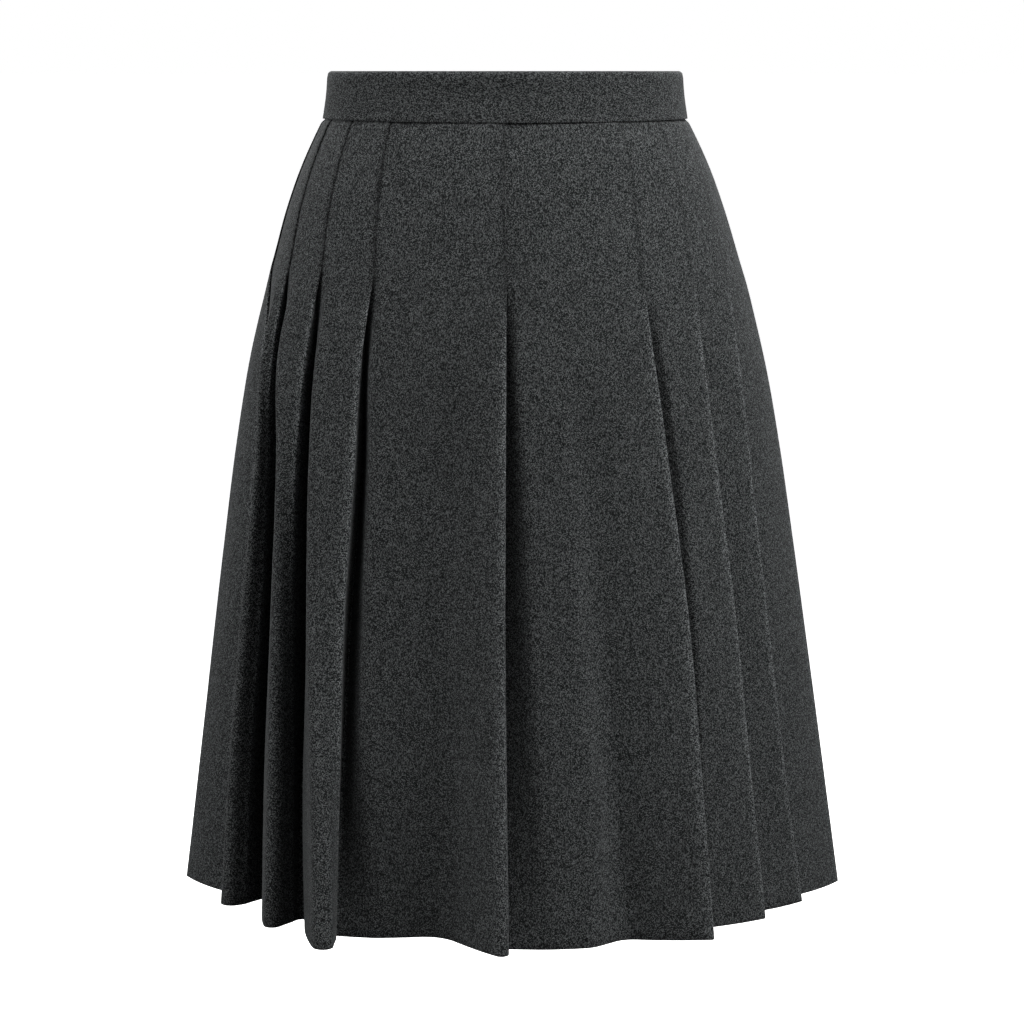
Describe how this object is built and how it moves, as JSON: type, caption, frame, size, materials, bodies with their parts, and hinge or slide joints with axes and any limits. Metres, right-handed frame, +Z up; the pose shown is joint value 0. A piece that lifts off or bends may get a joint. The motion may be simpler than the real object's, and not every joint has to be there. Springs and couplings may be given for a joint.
{
  "type": "knee-length pleated skirt",
  "caption": "Knee-length skirt of charcoal suiting, with knife pleats stitched down to the hip, a straight waistband lapped and buttoned at the centre back, open at waist and hem.",
  "frame": {"origin": "centre of the waist, level with the waistband's top edge, where the wearer's waist holds the skirt", "axes": "+Z up, -Y is the skirt's front, +X is the wearer's left"},
  "size_m": [0.4995, 0.4267, 0.6122],
  "materials": {
    "suiting": "matt charcoal heather wool suiting",
    "band": "the same suiting, folded double over an interfacing",
    "button": "black resin with a soft shine"
  },
  "bodies": {
    "root": {"front_panel": "suiting", "back_left_panel": "suiting", "back_right_panel": "suiting", "waistband": "band", "back_button": "button"}
  },
  "joints": []
}
